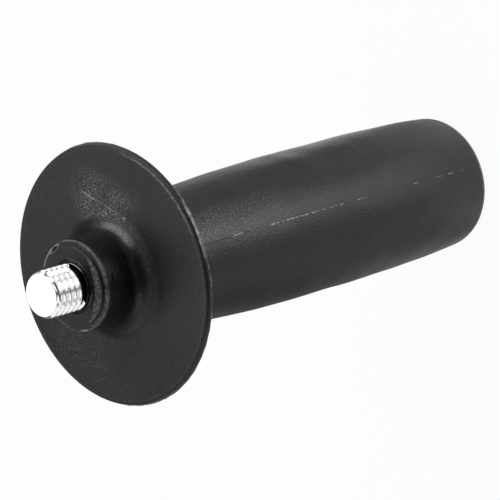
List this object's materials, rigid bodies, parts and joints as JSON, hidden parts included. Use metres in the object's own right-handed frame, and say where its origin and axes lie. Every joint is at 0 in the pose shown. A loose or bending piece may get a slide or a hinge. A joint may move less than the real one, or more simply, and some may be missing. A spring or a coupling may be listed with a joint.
{
  "type": "angle grinder side handle",
  "caption": "Moulded side handle with a swelling round barrel, a round hand-guard flange and a steel stud that screws into a tool's gear head.",
  "frame": {"origin": "centre of the hub's seat, where the stud leaves the plastic", "axes": "+Z along the stud, out of the seat; the barrel runs down -Z and stands on its butt; Y lies in the mould's parting plane"},
  "size_m": [0.056, 0.056, 0.1248],
  "materials": {
    "black_plastic": "fine-grained moulded black nylon, semi-matt",
    "zinc_steel": "bright zinc plate"
  },
  "bodies": {
    "root": {"grip": "black_plastic", "stud": "zinc_steel"}
  },
  "joints": []
}
